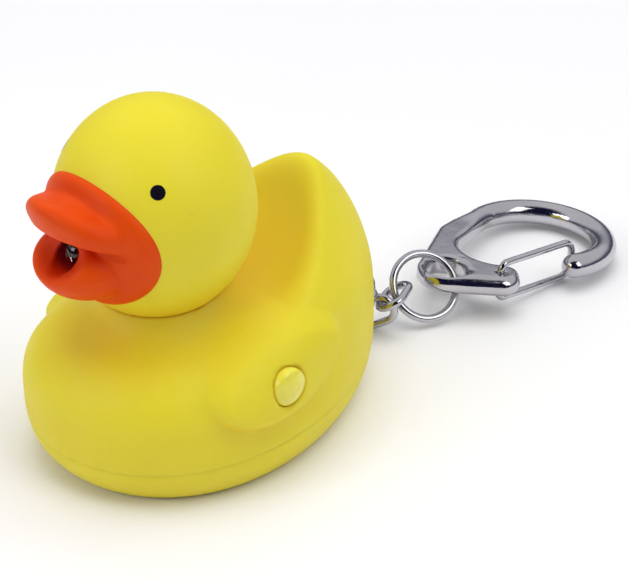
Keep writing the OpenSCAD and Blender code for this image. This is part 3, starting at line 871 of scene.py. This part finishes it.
def rounded(corners, radii, steps=9):
    """Open path through corners with a round bend at each inner one."""
    corners = [np.asarray(c, float) for c in corners]
    path = [corners[0]]
    for before, corner, after, radius in zip(corners, corners[1:], corners[2:], radii):
        one = unit(before - corner)
        two = unit(after - corner)
        half = math.acos(np.clip(one @ two, -1, 1)) / 2
        centre = corner + unit(one + two) * radius / math.sin(half)
        start = corner + one * radius / math.tan(half) - centre
        end = corner + two * radius / math.tan(half) - centre
        sweep = math.acos(np.clip(unit(start) @ unit(end), -1, 1))
        for i in range(steps):
            t = i / (steps - 1)
            turned = math.sin((1 - t) * sweep) * start + math.sin(t * sweep) * end
            path.append(centre + turned / math.sin(sweep))
    path.append(corners[-1])
    spaced = [path[0]]
    for a, b in zip(path, path[1:]):
        count = max(1, int(np.linalg.norm(b - a) / PATH_STEP))
        spaced.extend(a + (b - a) * k / count for k in range(1, count + 1))
    return np.array(spaced)


def gate_path():
    """Bent wire: in at the pivot on one side, along, across at the tip, and back to the other side."""
    along = np.array(GATE_TIP) - np.array(PIVOT_AT)
    corners = []
    stops = ((0, 0.75), (0, GATE_HALF), (1, GATE_HALF), (1, -GATE_HALF), (0, -GATE_HALF), (0, -0.75))
    for reach, height in stops:
        u, v = np.array(PIVOT_AT) + reach * along
        corners.append(hook_point(u, v, height))
    return rounded(corners, (1.0, 1.7, 1.7, 1.0))


wire_piece("gate_loop", gate_path(), GATE_WIRE_R, "gate", False, "gate_wire")


# ---------------------------------------------------------------- floor, light and camera
def stage_floor():
    s = Shader("floor_white")
    s.color(s.mix(s.ramp(s.noise(6, 2), 0.3, 0.7, 0, 1), (0.93, 0.93, 0.935), (0.95, 0.95, 0.955)))
    s.roughness(s.ramp(s.noise(20, 2), 0.3, 0.7, 0.55, 0.65))
    mesh = bpy.data.meshes.new("floor")
    r = 2.5
    mesh.from_pydata([(-r, -r, 0), (r, -r, 0), (r, r, 0), (-r, r, 0)], [], [(0, 1, 2, 3)])
    mesh.materials.append(s.material)
    floor = bpy.data.objects.new("floor", mesh)
    bpy.context.scene.collection.objects.link(floor)


def soft_light(name, place, aim, size, power):
    """Area light; place, aim and size are in metres and power is in watts."""
    data = bpy.data.lights.new(name, "AREA")
    data.shape = "RECTANGLE"
    data.size = size[0]
    data.size_y = size[1]
    data.energy = power
    lamp = bpy.data.objects.new(name, data)
    lamp.location = place
    lamp.rotation_euler = (Vector(place) - Vector(aim)).to_track_quat("Z", "Y").to_euler()
    bpy.context.scene.collection.objects.link(lamp)
    return lamp


def room_light():
    """Bright above and grey below, with one dark patch up in front on the button's side."""
    world = bpy.data.worlds.new("studio")
    bpy.context.scene.world = world
    world.use_nodes = True
    nodes = world.node_tree.nodes
    links = world.node_tree.links
    place = nodes.new("ShaderNodeTexCoord").outputs["Generated"]
    split = nodes.new("ShaderNodeSeparateXYZ")
    links.new(place, split.inputs[0])
    ramp = nodes.new("ShaderNodeValToRGB")
    ramp.color_ramp.elements[0].position = 0.0
    ramp.color_ramp.elements[0].color = (0.10, 0.11, 0.17, 1)
    ramp.color_ramp.elements[1].position = 1.0
    ramp.color_ramp.elements[1].color = (0.95, 0.95, 0.95, 1)
    for position, color in ((0.20, (0.16, 0.17, 0.24, 1)), (0.42, (0.92, 0.92, 0.95, 1))):
        ramp.color_ramp.elements.new(position).color = color
    links.new(split.outputs["Z"], ramp.inputs["Fac"])
    facing = nodes.new("ShaderNodeVectorMath")
    facing.operation = "DOT_PRODUCT"
    facing.inputs[1].default_value = (0.62, -0.60, 0.50)
    links.new(place, facing.inputs[0])
    patch = nodes.new("ShaderNodeMapRange")
    patch.interpolation_type = "SMOOTHSTEP"
    patch.inputs["From Min"].default_value = 0.45
    patch.inputs["From Max"].default_value = 0.75
    links.new(facing.outputs["Value"], patch.inputs["Value"])
    shade = nodes.new("ShaderNodeMix")
    shade.data_type = "RGBA"
    shade.inputs[7].default_value = (0.012, 0.012, 0.045, 1)
    links.new(patch.outputs["Result"], shade.inputs["Factor"])
    links.new(ramp.outputs["Color"], shade.inputs[6])
    links.new(shade.outputs[2], nodes["Background"].inputs["Color"])
    nodes["Background"].inputs["Strength"].default_value = 0.75


def photo_camera():
    """The photo's view: 46 degrees round from the front and 30 degrees up, with a long lens."""
    turn = math.radians(46)
    lift = math.radians(30)
    distance = 0.260
    back = Vector((math.sin(turn) * math.cos(lift), -math.cos(turn) * math.cos(lift), math.sin(lift)))
    aim = Vector((9.26, 7.25, 17.06)) * MM
    data = bpy.data.cameras.new("camera")
    data.sensor_width = 36
    data.lens = 134.14
    data.clip_start = 0.01
    data.clip_end = 20
    camera = bpy.data.objects.new("camera", data)
    camera.location = aim + distance * back
    camera.rotation_euler = back.to_track_quat("Z", "Y").to_euler()
    bpy.context.scene.collection.objects.link(camera)
    bpy.context.scene.camera = camera


stage_floor()
room_light()

# the overhead light is kept out of the mirror images in the metal
overhead = soft_light("overhead", (0.05, 0.05, 0.75), (0.0, 0.02, 0.0), (0.7, 0.7), 3.25)
overhead.visible_glossy = False
soft_light("front_left", (-0.10, -0.70, 0.42), (0.0, 0.0, 0.02), (0.45, 0.35), 1.75)
soft_light("key_right", (0.55, 0.10, 0.50), (0.0, 0.0, 0.02), (0.35, 0.5), 1.2)
photo_camera()
bpy.context.scene.view_settings.view_transform = "Standard"
